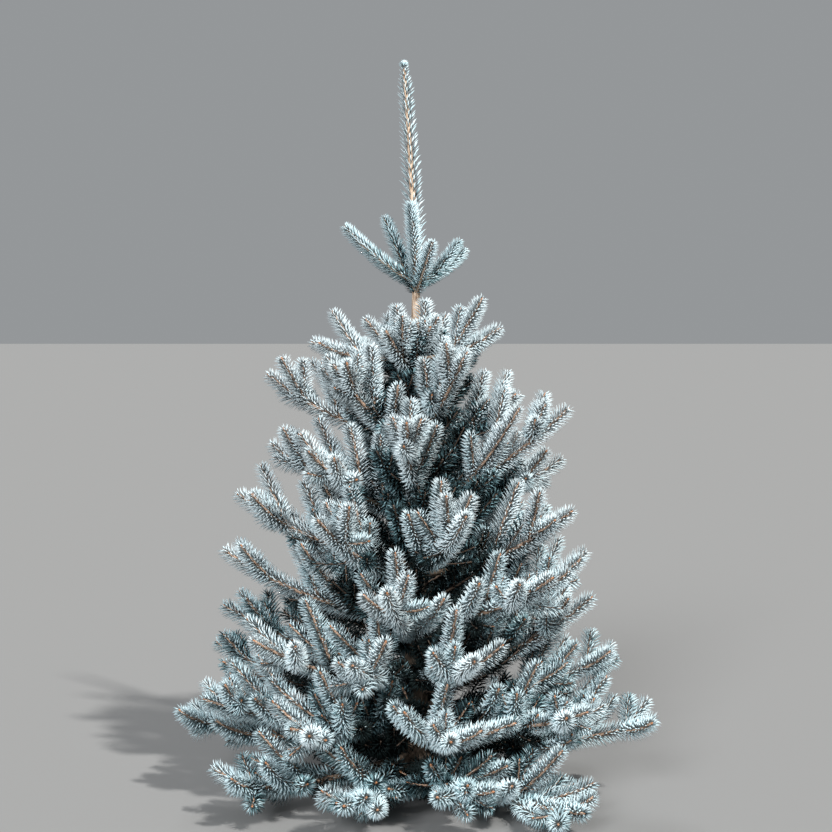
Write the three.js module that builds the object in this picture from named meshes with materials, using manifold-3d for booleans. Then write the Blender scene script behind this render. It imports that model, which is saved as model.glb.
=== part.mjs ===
// Blue spruce: a young garden tree with one long leader and boughs in tiers down to the ground.
// Millimetres, +Z up. The origin is the middle of the trunk's flat cut at ground level, and -Y is the front.

import * as THREE from "three";
import { mergeVertices } from "three/addons/utils/BufferGeometryUtils.js";
import Module from "manifold-3d";

// Driving dimensions
const TREE_HEIGHT = 1600;
const TRUNK_TOP = 1582;
const TRUNK_SIDES = 15;
const TRUNK_RADII = [
  // height, radius
  [0, 43],
  [30, 33],
  [110, 28],
  [400, 23],
  [800, 16],
  [1050, 10.5],
  [1100, 8],
  [1200, 6],
  [TRUNK_TOP, 2.6],
];
const TRUNK_RINGS = [0, 12, 30, 70, 110, 250, 400, 600, 800, 950, 1050, 1100, 1200, 1290, 1380, 1470];
const ROOT_FLARE = { height: 70, depth: 0.22, lobes: 5 };
const LEADER = { foot: 1138, lean: -26, bow: 1.3, sides: 5, bands: 9, core: 4 };
const LEADER_REACH = [
  // share of its height, how far its needles stand out
  [0, 29],
  [0.3, 27],
  [0.55, 21],
  [1, 15],
];
const BOUGH = { footRadius: 10, endRadius: 6.5, sides: 7, rings: 3, leastReach: 515 };
const STEM_RADIUS = 4.2; // of the bare stem between the trunk and a spray
const STEM_SINK = 3; // how far a stem is modelled into the trunk before the trunk is cut from it
const CLEARANCE = 0.3; // between one solid and the next
const CLEAR_TEST = 0.25; // a spray nearer than this to another node is fitted smaller or skipped

// Each tier of limbs: its height on the trunk, the share of a limb where its side shoots start, its
// pairs of side shoots, its sprays' radius, and each limb as [azimuth, reach, tip height]. Azimuth 0
// points right, 90 to the back, 180 left and 270 to the front. The longest of the lowest limbs are
// thick enough to start with a bough of their own, which takes the share called bough.
const TIERS = [
  {
    height: 1102, bare: 0.2, pairs: 0, spray: 25,
    limbs: [[180, 166, 1250], [138, 100, 1272], [12, 122, 1200], [298, 85, 1212]],
  },
  {
    height: 935, bare: 0.24, pairs: 1, spray: 30,
    limbs: [
      [180, 240, 992], [243, 150, 1022], [348, 200, 1025], [60, 175, 1000], [291, 96, 1030], [118, 180, 1000],
    ],
  },
  {
    height: 762, bare: 0.24, pairs: 2, spray: 31,
    limbs: [[182, 335, 925], [228, 265, 950], [296, 235, 965], [5, 240, 882], [85, 280, 930]],
  },
  {
    height: 620, bare: 0.22, pairs: 2, spray: 32,
    limbs: [
      [342, 352, 856], [12, 345, 732], [181, 330, 772], [224, 320, 772], [266, 285, 835], [115, 320, 790],
    ],
  },
  {
    height: 486, bare: 0.22, pairs: 2, spray: 33,
    limbs: [
      [184, 402, 664], [238, 385, 640], [286, 375, 650], [335, 375, 640], [50, 375, 650], [128, 375, 650],
    ],
  },
  {
    height: 364, bare: 0.24, pairs: 2, spray: 33,
    limbs: [
      [188, 432, 545], [262, 420, 505], [312, 425, 520], [358, 385, 537], [65, 410, 520], [125, 410, 520],
    ],
  },
  {
    height: 260, bare: 0.26, pairs: 2, spray: 33,
    limbs: [
      [176, 440, 408], [222, 455, 390], [285, 455, 372], [345, 402, 450], [38, 430, 410], [98, 430, 400],
      [253, 440, 360],
    ],
  },
  {
    height: 170, bare: 0.28, pairs: 3, spray: 33,
    limbs: [
      [163, 492, 304], [200, 490, 238], [238, 480, 230], [318, 480, 245], [1, 448, 306], [75, 470, 270],
      [279, 452, 212],
    ],
  },
  {
    height: 98, bare: 0.36, bough: 0.3, pairs: 3, spray: 33,
    limbs: [
      [184, 525, 178], [220, 505, 92], [252, 470, 84], [309, 540, 62], [347, 540, 182],
      [45, 500, 150], [118, 500, 150], [284, 430, 104],
    ],
  },
];
const STAGGER = 13; // neighbours in a tier stand this far above and below its height

// How side shoots leave a limb
const SIDE_TURN = { mean: 37, vary: 15 }; // degrees to either side
const SIDE_LIFT = { mean: 22, vary: 18 }; // degrees above the limb's own rise
const SIDE_LENGTH = { share: 0.55, least: 60, vary: 0.16 }; // of the limb that is left beyond it
const SIDE_PLACE = { first: 0.06, vary: 0.2 }; // of the way from one pair to the next
const TOP_SHOOT = { at: 0.3, turn: 16, lift: 46, length: 0.55 }; // the one shoot on a limb's back
const INNER_STEM = 0.58; // the share of a limb that only its side shoots clothe
const HEEL = 1.15; // the bare heel of a side shoot, in its limb's spray radii
const SIDE_SPRAY = 0.94; // a side shoot's radius beside its limb's
const LOWEST_NEEDLE = 12; // height that no foliage reaches below
const KNEE = 0.55; // the share of its reach where a limb turns up
const END_PITCH = [
  // how steep a limb ends, the lesser of two lines: degrees, and the share of its own slope
  [14, 1.1],
  [30, 0.5],
];
const MAIN_SIZES = [1, 0.85, 0.7, 0.55, 0.4]; // tried in turn until a limb's own spray fits
const SIDE_SIZES = [1, 0.82, 0.66, 0.5];
const SIDE_FULLER = 0.12; // a side shoot keeps this much more of its radius than of its length

// How a spray of needles is made: a slim core whose every face stands out as one long tooth
const CORE_SHARE = 0.4;
const CORE_SIDES = 3;
const TOOTH_EVERY = 84;
const TOOTH_LEAN = 0.75; // how far a tooth leans on towards the tip, in its own lengths
const TWIST = Math.PI / 3; // each ring of teeth is turned this far from the last
const POINT_BANDS = 0.6; // the bare point past the last ring, in bands
const END_FULLNESS = 0.62; // a spray's radius at its tip beside its fullest
const FULLEST = 0.36; // the share of the way along where it is fullest

const BARK_COLOUR = 0x6d5a4a;
const NEEDLE_COLOURS = { lowest: 0x8197a0, highest: 0xb9ccd4 };

const wasm = await Module();
wasm.setup();

// Park and Miller's generator, which gives the same numbers for the same seed anywhere.
function seededRandom(seed) {
  let state = (seed * 7919 + 17) % 2147483647;
  return () => {
    state = (state * 16807) % 2147483647;
    return state / 2147483647;
  };
}

function between(table, at) {
  const next = Math.max(1, table.findIndex(([place]) => place >= at));
  const [[a, low], [b, high]] = [table[next - 1], table[next]];
  return THREE.MathUtils.lerp(low, high, THREE.MathUtils.smoothstep(at, a, b));
}

const trunkRadius = (height) => between(TRUNK_RADII, Math.min(height, TRUNK_TOP));

const upTo = (count) => [...Array(count).keys()];

// The trunk stands straight to the leader, which then leans a little to the left.
function trunkCentre(height) {
  const along = Math.max(0, (height - LEADER.foot) / (TRUNK_TOP - LEADER.foot));
  return new THREE.Vector3(LEADER.lean * along ** LEADER.bow, 0, height);
}

// Merges a closed geometry's vertices and hands it over as a solid.
function solidOf(geometry) {
  geometry.deleteAttribute("normal");
  geometry.deleteAttribute("uv");
  const merged = mergeVertices(geometry, 1e-4);
  return new wasm.Manifold(
    new wasm.Mesh({
      numProp: 3,
      vertProperties: merged.attributes.position.array,
      triVerts: new Uint32Array(merged.index.array),
    }),
  );
}

function geometryOf(solid) {
  const mesh = solid.getMesh();
  const places = new Float32Array(mesh.numVert * 3);
  for (let i = 0; i < mesh.numVert; i++) {
    places.set(mesh.vertProperties.subarray(i * mesh.numProp, i * mesh.numProp + 3), i * 3);
  }
  const geometry = new THREE.BufferGeometry();
  geometry.setAttribute("position", new THREE.BufferAttribute(places, 3));
  geometry.setIndex(new THREE.BufferAttribute(new Uint32Array(mesh.triVerts), 1));
  geometry.computeVertexNormals();
  return geometry;
}

// A unit cylinder whose rings are laid along the trunk, with its radius and root flare. The trunk made
// a little larger all round, by extra, is what the foliage is cut clear with.
function trunkSolid(extra) {
  const heights = [...TRUNK_RINGS, TRUNK_TOP + extra];
  const geometry = new THREE.CylinderGeometry(1, 1, 1, TRUNK_SIDES, heights.length - 1);
  const places = geometry.attributes.position;
  for (let i = 0; i < places.count; i++) {
    const [x, y, z] = [places.getX(i), places.getY(i), places.getZ(i)];
    const height = heights[Math.round((y + 0.5) * (heights.length - 1))];
    const angle = Math.atan2(-z, x);
    const flare = Math.max(0, 1 - height / ROOT_FLARE.height);
    const lobe = 1 + ROOT_FLARE.depth * flare * Math.cos(ROOT_FLARE.lobes * angle);
    const radius = (trunkRadius(height) * lobe + extra) * Math.hypot(x, z);
    const centre = trunkCentre(height);
    const below = height === 0 ? -extra : 0;
    places.setXYZ(
      i,
      centre.x + radius * Math.cos(angle),
      centre.y + radius * Math.sin(angle),
      height + below,
    );
  }
  return solidOf(geometry);
}

// A limb leaves its foot nearly level, or sags a little, and turns up towards its tip.
function limbCurve(foot, azimuth, reach, rise) {
  const turn = THREE.MathUtils.degToRad(azimuth);
  const out = new THREE.Vector3(Math.cos(turn), Math.sin(turn), 0);
  const slope = THREE.MathUtils.radToDeg(Math.atan2(rise, reach));
  const endPitch = THREE.MathUtils.degToRad(Math.min(...END_PITCH.map(([least, share]) => least + share * slope)));
  const knee = foot.clone().addScaledVector(out, reach * KNEE);
  const tip = foot.clone().addScaledVector(out, reach);
  tip.z += rise;
  knee.z = tip.z - reach * (1 - KNEE) * Math.tan(endPitch);
  return new THREE.QuadraticBezierCurve3(foot.clone(), knee, tip);
}

// Two directions square to a limb at one point: level, and as near upright as the limb lets it be.
function frameAt(curve, at) {
  const along = curve.getTangent(at);
  const level = new THREE.Vector3(along.y, -along.x, 0).normalize();
  const upright = new THREE.Vector3().crossVectors(level, along).normalize();
  return { along, level, upright, middle: curve.getPoint(at) };
}

function onRing(frame, radius, angle) {
  return frame.middle
    .clone()
    .addScaledVector(frame.level, radius * Math.cos(angle))
    .addScaledVector(frame.upright, radius * Math.sin(angle));
}

// A plain tapering limb from the middle of the trunk to a share of the way along its curve.
function boughSolid(curve, to) {
  const geometry = new THREE.CylinderGeometry(1, 1, 1, BOUGH.sides, BOUGH.rings);
  const places = geometry.attributes.position;
  for (let i = 0; i < places.count; i++) {
    const [x, y, z] = [places.getX(i), places.getY(i), places.getZ(i)];
    const share = y + 0.5;
    const radius = THREE.MathUtils.lerp(BOUGH.footRadius, BOUGH.endRadius, share) * Math.hypot(x, z);
    const frame = frameAt(curve, to * share);
    const at = onRing(frame, radius, Math.atan2(z, -x));
    places.setXYZ(i, at.x, at.y, at.z);
  }
  return facingOut(geometry);
}

// Turns a closed geometry's faces round where they point inwards.
function facingOut(geometry) {
  const solid = solidOf(geometry);
  if (solid.volume() > 0) return solid;
  const index = geometry.index.array;
  for (let i = 0; i < index.length; i += 3) [index[i + 1], index[i + 2]] = [index[i + 2], index[i + 1]];
  return solidOf(geometry);
}

// A spray of needles along a curve, from rings of core points, a tooth on each face and a pointed tip.
// shares are the rings' places along it, and the core runs bare up to the first of them that is past
// bareTo. ringAt gives the frame at a share of the way, and coreAt and reachAt its two radii.
function toothedSolid(shares, bareTo, sides, ringAt, coreAt, reachAt, tip) {
  const points = [];
  const faces = [];
  const add = (point) => points.push(point) - 1;
  const rings = shares.map((share, ring) => {
    const angles = upTo(sides).map((side) => (side * 2 * Math.PI) / sides + ring * TWIST);
    return angles.map((angle) => add(onRing(ringAt(share), coreAt(share), angle)));
  });
  for (let ring = 1; ring < rings.length; ring++) {
    const [last, share] = [shares[ring - 1], shares[ring]];
    const middle = ringAt((last + share) / 2);
    const lean = ringAt(share).middle.distanceTo(ringAt(last).middle) * TOOTH_LEAN;
    for (let side = 0; side < sides; side++) {
      const next = (side + 1) % sides;
      const corners = [rings[ring - 1][side], rings[ring - 1][next], rings[ring][next], rings[ring][side]];
      if (last < bareTo) {
        faces.push([corners[0], corners[1], corners[3]], [corners[1], corners[2], corners[3]]);
        continue;
      }
      const angle = ((side + 0.5) * 2 * Math.PI) / sides + (ring - 0.5) * TWIST;
      const tooth = add(
        onRing(middle, reachAt((last + share) / 2), angle).addScaledVector(middle.along, lean),
      );
      corners.forEach((corner, i) => faces.push([corner, corners[(i + 1) % 4], tooth]));
    }
  }
  const bands = rings.length - 1;
  const heel = add(ringAt(0).middle);
  const point = add(tip);
  for (let side = 0; side < sides; side++) {
    const next = (side + 1) % sides;
    faces.push([rings[0][next], rings[0][side], heel], [rings[bands][side], rings[bands][next], point]);
  }
  const geometry = new THREE.BufferGeometry();
  geometry.setAttribute(
    "position",
    new THREE.Float32BufferAttribute(points.flatMap((p) => p.toArray()), 3),
  );
  geometry.setIndex(faces.flat());
  return facingOut(geometry);
}

// Rings an even way apart that stop short of the tip, the first one at the heel.
function ringShares(start, length) {
  const bands = Math.max(1, Math.round((length * (1 - start)) / TOOTH_EVERY));
  const shares = upTo(bands + 1).map((ring) => start + ((1 - start) * ring) / (bands + POINT_BANDS));
  return start > 0 ? [0, ...shares] : shares;
}

// How full a spray is at a share of the way along it, beside its fullest.
function fullness(share) {
  const swell = share < FULLEST ? 0.5 + (0.5 * share) / FULLEST : (1 - share) / (1 - FULLEST);
  return END_FULLNESS + (1 - END_FULLNESS) * Math.sin((Math.PI / 2) * swell);
}

// One spray on a limb's curve. radius is how far its needles reach where it is fullest, and bare is
// the share at its heel that is only a slim stem.
function spraySolid(curve, from, radius, bare) {
  const ringAt = (share) => frameAt(curve, from + (1 - from) * Math.min(share, 1));
  return toothedSolid(
    ringShares(bare, curve.getLength() * (1 - from)),
    bare,
    CORE_SIDES,
    ringAt,
    (share) => (share <= bare ? STEM_RADIUS : radius * CORE_SHARE * fullness(share)),
    (share) => radius * fullness(share),
    curve.getPoint(1),
  );
}

// The leader's needles, a toothed sleeve that the trunk's top stands in.
function leaderSolid(trunkCut) {
  const ringAt = (share) => {
    const height = THREE.MathUtils.lerp(LEADER.foot, TREE_HEIGHT, share);
    return {
      along: new THREE.Vector3(0, 0, 1),
      level: new THREE.Vector3(1, 0, 0),
      upright: new THREE.Vector3(0, 1, 0),
      middle: trunkCentre(Math.min(height, TRUNK_TOP)).setZ(height),
    };
  };
  const sleeve = toothedSolid(
    upTo(LEADER.bands + 1).map((ring) => ring / (LEADER.bands + POINT_BANDS)),
    0,
    LEADER.sides,
    ringAt,
    (share) => trunkRadius(ringAt(share).middle.z) + LEADER.core,
    (share) => between(LEADER_REACH, share),
    trunkCentre(TRUNK_TOP).setZ(TREE_HEIGHT),
  );
  return largest(sleeve.subtract(trunkCut));
}

// The biggest body of a solid: loose scraps and sealed hollows are left behind.
function largest(solid) {
  return solid.decompose().reduce((best, body) => (body.volume() > best.volume() ? body : best));
}

function tooNear(one, other) {
  const [a, b] = [one.boundingBox(), other.boundingBox()];
  const apart = [0, 1, 2].some(
    (i) => a.min[i] > b.max[i] + CLEAR_TEST || b.min[i] > a.max[i] + CLEAR_TEST,
  );
  return !apart && one.minGap(other, CLEAR_TEST) < CLEAR_TEST;
}

// Every limb of the tree with its curve and its own numbers from the tiers.
function allLimbs() {
  return TIERS.flatMap((tier, t) =>
    tier.limbs.map(([azimuth, reach, tipHeight], n) => {
      const foot = trunkCentre(tier.height + (n % 2 ? -STAGGER : STAGGER));
      const rise = tipHeight - foot.z;
      const curve = limbCurve(foot, azimuth, reach, rise);
      const label = `tier${t + 1}_${"abcdefgh"[n]}`;
      const random = seededRandom(100 * (t + 1) + n);
      return { label, tier, azimuth, reach, rise, curve, random, sprays: [] };
    }),
  );
}

// The side shoots of one limb, in pairs, the longest nearest the trunk, and one on its back.
function sideShoots(limb) {
  const { tier, curve, random } = limb;
  const shoots = [];
  const pitch = THREE.MathUtils.radToDeg(Math.atan2(limb.rise, limb.reach));
  const length = curve.getLength();
  const spread = () => 2 * random() - 1;
  for (const pair of upTo(tier.pairs)) {
    for (const side of [-1, 1]) {
      const share = (pair + SIDE_PLACE.first + SIDE_PLACE.vary * random()) / tier.pairs;
      const at = tier.bare + (1 - tier.bare) * share;
      const turn = SIDE_TURN.mean + SIDE_TURN.vary * spread();
      const lift = SIDE_LIFT.mean + SIDE_LIFT.vary * spread();
      const vary = 1 + SIDE_LENGTH.vary * spread();
      const long = (SIDE_LENGTH.least + SIDE_LENGTH.share * length * (1 - at)) * vary;
      const rise = THREE.MathUtils.degToRad(pitch + lift);
      shoots.push({ at, azimuth: limb.azimuth + side * turn, long, rise });
    }
  }
  if (tier.pairs) {
    const at = tier.bare + (1 - tier.bare) * TOP_SHOOT.at;
    shoots.push({
      at,
      azimuth: limb.azimuth + TOP_SHOOT.turn * spread(),
      long: SIDE_LENGTH.least + TOP_SHOOT.length * length * (1 - at),
      rise: THREE.MathUtils.degToRad(pitch + TOP_SHOOT.lift),
    });
  }
  return shoots;
}

const hasBough = ({ tier, reach }) => Boolean(tier.bough) && reach >= BOUGH.leastReach;

// A limb's main spray, on a bare stem that starts clear of its bough, or sunk a little in the trunk.
function mainSpray(limb, size) {
  const { curve, tier } = limb;
  const length = curve.getLength();
  const gap = hasBough(limb) ? tier.bough * length + CLEARANCE : trunkRadius(tier.height) - STEM_SINK;
  const start = gap / length;
  const bare = tier.pairs ? INNER_STEM : tier.bare;
  return spraySolid(curve, start, tier.spray * size, (bare - start) / (1 - start));
}

// The spray of a side shoot, its root sunk to the middle of the limb that it leaves.
function sideSpray(limb, shoot, size) {
  const long = shoot.long * size;
  const foot = limb.curve.getPoint(shoot.at);
  const curve = limbCurve(foot, shoot.azimuth, long * Math.cos(shoot.rise), long * Math.sin(shoot.rise));
  const slim = Math.min(1, size + SIDE_FULLER);
  return spraySolid(curve, 0, limb.tier.spray * SIDE_SPRAY * slim, (limb.tier.spray * HEEL) / long);
}

// Gives every limb its main spray, then its side shoots in turn, each fitted to the room that is left.
function growFoliage(limbs, wood) {
  const isFree = (spray, owner) =>
    spray.boundingBox().min[2] > LOWEST_NEEDLE &&
    !wood.some((node) => tooNear(spray, node)) &&
    !limbs.some((limb) => limb !== owner && limb.sprays.some((other) => tooNear(spray, other)));
  const place = (limb, sizes, make) => {
    for (const size of sizes) {
      const spray = make(size);
      if (isFree(spray, limb)) return limb.sprays.push(spray);
    }
    return 0;
  };
  for (const limb of limbs) {
    if (!place(limb, MAIN_SIZES, (size) => mainSpray(limb, size))) {
      throw new Error(`no room for the main spray of limb ${limb.label}`);
    }
  }
  const shoots = limbs.map((limb) => sideShoots(limb));
  for (let turn = 0; shoots.some((list) => list.length > turn); turn++) {
    limbs.forEach((limb, i) => {
      const shoot = shoots[i][turn];
      if (shoot) place(limb, SIDE_SIZES, (size) => sideSpray(limb, shoot, size));
    });
  }
}

function barkMaterial() {
  return new THREE.MeshStandardMaterial({ color: BARK_COLOUR, roughness: 0.95, metalness: 0 });
}

// Needles are palest at the top of the tree.
function needleMaterial(height) {
  const color = new THREE.Color(NEEDLE_COLOURS.lowest);
  color.lerp(new THREE.Color(NEEDLE_COLOURS.highest), height / TREE_HEIGHT);
  return new THREE.MeshStandardMaterial({ color, roughness: 0.7, metalness: 0 });
}

// A mesh that stands in a group at some height keeps its place in the tree.
function namedMesh(name, solid, material, groupHeight) {
  const mesh = new THREE.Mesh(geometryOf(solid).translate(0, 0, -groupHeight), material);
  mesh.name = name;
  return mesh;
}

// The whole tree: the trunk and its leader, and a group for each tier at that tier's height.
function buildTree() {
  const trunkCut = trunkSolid(CLEARANCE);
  const leader = leaderSolid(trunkCut);
  const limbs = allLimbs();
  const boughs = new Map();
  for (const limb of limbs.filter(hasBough)) {
    boughs.set(limb, largest(boughSolid(limb.curve, limb.tier.bough).subtract(trunkCut)));
  }
  growFoliage(limbs, [leader, ...boughs.values()]);

  const tree = new THREE.Group();
  tree.add(
    namedMesh("trunk", trunkSolid(0), barkMaterial(), 0),
    namedMesh("leader_needles", leader, needleMaterial(TREE_HEIGHT), 0),
  );
  for (const tier of TIERS) {
    const group = new THREE.Group();
    group.position.z = tier.height;
    for (const limb of limbs.filter((each) => each.tier === tier)) {
      const bough = boughs.get(limb);
      const mass = largest(wasm.Manifold.union(limb.sprays).subtract(trunkCut));
      if (bough) group.add(namedMesh(`bough_${limb.label}`, bough, barkMaterial(), tier.height));
      group.add(namedMesh(`foliage_${limb.label}`, mass, needleMaterial(tier.height), tier.height));
    }
    tree.add(group);
  }
  return tree;
}

export default buildTree();
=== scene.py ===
"""Blue spruce: dresses the tree's solids with bark, twigs, buds and needles that grow by the same rule."""

import math
from dataclasses import dataclass, field

import bpy
import numpy as np
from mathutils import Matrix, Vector


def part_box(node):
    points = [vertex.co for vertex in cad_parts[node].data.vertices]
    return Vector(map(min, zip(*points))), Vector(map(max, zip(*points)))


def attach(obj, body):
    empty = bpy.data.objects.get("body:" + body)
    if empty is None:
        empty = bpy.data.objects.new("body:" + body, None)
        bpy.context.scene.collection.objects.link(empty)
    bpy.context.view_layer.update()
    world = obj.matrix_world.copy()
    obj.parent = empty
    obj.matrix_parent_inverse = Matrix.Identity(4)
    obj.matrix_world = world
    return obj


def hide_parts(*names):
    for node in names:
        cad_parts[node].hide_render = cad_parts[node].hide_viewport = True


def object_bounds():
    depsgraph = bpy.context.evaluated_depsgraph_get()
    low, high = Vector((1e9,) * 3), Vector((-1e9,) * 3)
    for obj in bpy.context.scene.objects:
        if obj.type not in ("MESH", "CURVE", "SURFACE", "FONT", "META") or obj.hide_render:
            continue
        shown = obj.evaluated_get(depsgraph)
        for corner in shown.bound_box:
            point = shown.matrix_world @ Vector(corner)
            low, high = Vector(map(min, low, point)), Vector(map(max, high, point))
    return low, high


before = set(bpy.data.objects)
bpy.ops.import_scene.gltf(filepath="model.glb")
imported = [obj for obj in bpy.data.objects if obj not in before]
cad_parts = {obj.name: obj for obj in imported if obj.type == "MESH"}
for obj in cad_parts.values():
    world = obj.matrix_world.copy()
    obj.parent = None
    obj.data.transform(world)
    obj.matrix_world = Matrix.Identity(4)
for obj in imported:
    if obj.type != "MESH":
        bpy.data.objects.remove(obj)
CAD_BOX = [list(corner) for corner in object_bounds()]

bl_info = {
    "name": "Blue Spruce",
    "version": (1, 0, 0),
    "blender": (4, 5, 0),
    "location": "3D View > Sidebar > Spruce",
    "description": "Grows the bark, twigs, buds and needles of a young blue spruce",
    "category": "Object",
}

# The tree's sizes in metres, as its solids have them but for a leader that is a little stouter
TREE_TOP = CAD_BOX[1][2]
TRUNK_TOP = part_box("trunk")[1].z
TRUNK_RADII = (  # (height, radius)
    (0.0, 0.043), (0.03, 0.033), (0.11, 0.028), (0.4, 0.023), (0.8, 0.016),
    (1.05, 0.0105), (1.1, 0.0082), (1.2, 0.0072), (TRUNK_TOP, 0.0036),
)
ROOT_FLARE = {"height": 0.07, "depth": 0.22, "lobes": 5}
LEADER = {"foot": 1.138, "lean": -0.026, "bow": 1.3}


@dataclass(frozen=True)
class Tier:
    """Limbs that leave the trunk at one height, as (azimuth in degrees, reach, height of the tip).

    They share the bare stretch at the foot, the pairs of side shoots and how far their needles stand out.
    """

    height: float
    bare: float
    pairs: int
    spray: float
    limbs: tuple


# Azimuth 0 points right, 90 to the back, 180 left and 270 to the front
TIERS = (
    Tier(1.102, 0.2, 0, 0.025, (
        (180, 0.166, 1.25), (138, 0.1, 1.272), (12, 0.122, 1.2), (298, 0.085, 1.212),
    )),
    Tier(0.935, 0.24, 1, 0.03, (
        (180, 0.24, 0.992), (243, 0.15, 1.022), (348, 0.2, 1.025), (60, 0.175, 1.0),
        (291, 0.096, 1.03), (118, 0.18, 1.0),
    )),
    Tier(0.762, 0.24, 2, 0.031, (
        (182, 0.335, 0.925), (228, 0.265, 0.95), (296, 0.235, 0.965), (5, 0.24, 0.882),
        (85, 0.28, 0.93),
    )),
    Tier(0.62, 0.22, 2, 0.032, (
        (342, 0.352, 0.856), (12, 0.345, 0.732), (181, 0.33, 0.772), (224, 0.32, 0.772),
        (266, 0.285, 0.835), (115, 0.32, 0.79),
    )),
    Tier(0.486, 0.22, 2, 0.033, (
        (184, 0.402, 0.664), (238, 0.385, 0.64), (286, 0.375, 0.65), (335, 0.375, 0.64),
        (50, 0.375, 0.65), (128, 0.375, 0.65),
    )),
    Tier(0.364, 0.24, 2, 0.033, (
        (188, 0.432, 0.545), (262, 0.42, 0.505), (312, 0.425, 0.52), (358, 0.385, 0.537),
        (65, 0.41, 0.52), (125, 0.41, 0.52),
    )),
    Tier(0.26, 0.26, 2, 0.033, (
        (176, 0.44, 0.408), (222, 0.455, 0.39), (285, 0.455, 0.372), (345, 0.402, 0.45),
        (38, 0.43, 0.41), (98, 0.43, 0.4), (253, 0.44, 0.36),
    )),
    Tier(0.17, 0.28, 3, 0.033, (
        (163, 0.492, 0.304), (200, 0.49, 0.238), (238, 0.48, 0.23), (318, 0.48, 0.245),
        (1, 0.448, 0.306), (75, 0.47, 0.27), (279, 0.452, 0.212),
    )),
    Tier(0.098, 0.36, 3, 0.033, (
        (184, 0.525, 0.178), (220, 0.505, 0.092), (252, 0.47, 0.084), (309, 0.54, 0.062),
        (347, 0.54, 0.182), (45, 0.5, 0.15), (118, 0.5, 0.15), (284, 0.43, 0.104),
    )),
)
STAGGER = 0.013  # how far limbs start below and above their tier's height in turn

# How side shoots leave a limb, as the solids have it, with angles in degrees
SIDE_TURN = {"mean": 37, "vary": 15}
SIDE_LIFT = {"mean": 22, "vary": 18}
SIDE_LENGTH = {"share": 0.55, "least": 0.06, "vary": 0.16}
SIDE_PLACE = {"first": 0.06, "vary": 0.2}
TOP_SHOOT = {"at": 0.3, "turn": 16, "lift": 46, "length": 0.55}
KNEE = 0.55  # the share of its reach where a limb turns up
END_PITCH = ((14, 1.1), (30, 0.5))  # how steep a limb ends: the lesser of two lines on its own slope
SIDE_SIZES = (1, 0.82, 0.66, 0.5)
SIDE_SPRAY = 0.94  # how far a side shoot's needles stand out, beside its limb's
LOWEST_NEEDLE = 0.012  # a shoot has to stay half a spray above this
LOWEST_POINT = 0.003  # no needle ends lower than this
SAME_PLACE = 0.0005  # a shoot's tip is in a solid where one of its corners is this near

# The finer shoots that the solids leave out: they follow the same rule on the shoots above
FINER_LENGTH = {"share": 0.3, "least": 0.045, "vary": 0.2}
FINER_LIFT = {"mean": 2, "vary": 46}  # some of them hang
FINER_SPAN = (0.05, 0.42)  # the stretch of a shoot that finer shoots stand on
FINER_SPRAY = 0.92  # how far a finer shoot's needles stand out, beside its limb's
FINER_CHANCE = 0.76  # the share of finer shoots that grow
PAIR_EVERY = 0.16  # of a shoot's length takes one more pair of finer shoots
STEEPEST = 72  # degrees that no finer shoot rises above
INNER_SHOOTS = {"count": 5, "from": 0.1, "to": 0.6, "length": 0.105, "vary": 0.3, "lift": 28}
CROWN_RADII = ((0.0, 0.48), (0.2, 0.5), (0.55, 0.42), (0.9, 0.26), (1.02, 0.13), (1.1, 0.02))
TRUNK_SHOOTS = {"every": 0.0095, "low": 0.04, "high": 0.93, "stagger": 0.5, "vary": 0.25, "tilt": 0.4}
TRUNK_SIDES = {"pairs": 2, "first": 0.35, "last": 0.9}
TRUNK_SHOOT_REACH = ((0.0, 0.66), (0.25, 0.6), (0.5, 0.56), (1.0, 0.5))  # shares of the crown's radius
TRUNK_SHOOT_PITCH = ((0.0, 6), (0.2, 20), (0.5, 34), (1.0, 40))
HIDDEN_WITHIN = 0.74  # the share of the crown's radius that old shoots keep within
# Shoots of the top whorl that have no solid of their own: (limb, at, azimuth, reach, rise, radius)
WHORL_SHOOTS = (
    ("tier1_c", 0.3, -6, 0.066, 0.086, 0.022),
    ("tier1_d", 0.06, 245, 0.034, 0.196, 0.024),
)

# The wood of limbs and shoots, and how their needles stand
LIMB_WOOD = {"least": 0.0026, "for_length": 0.0145, "tip": 0.0031}  # radii, thicker for a longer limb
LIMB_NEEDLES = {"bare": 0.7, "crowding": 1.1}  # they start at this share of the tier's bare share
WHORL_NEEDLES = {"bare": 0.03, "crowding": 1.7}
INSIDE = 4  # the order of the old shoots inside the crown
# Twigs: (bare share, radii at foot and end, order, crowding of needles), inside the crown after their reach
SIDE_TWIG = (0.05, (0.0038, 0.0027), 2, 1.0)
WHORL_TWIG = (0.03, (0.0030, 0.0018), 2, 1.7)
FINER_TWIG = (0.05, (0.0026, 0.0019), 3, 0.9)
INNER_TWIG = (0.029, 0.06, (0.0018, 0.0014), INSIDE, 0.45)
TRUNK_TWIG = (0.03, 0.08, (0.0032, 0.0018), INSIDE, 0.75)
TRUNK_SIDE_TWIG = (0.03, 0.05, (0.0018, 0.0014), INSIDE, 0.6)

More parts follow.
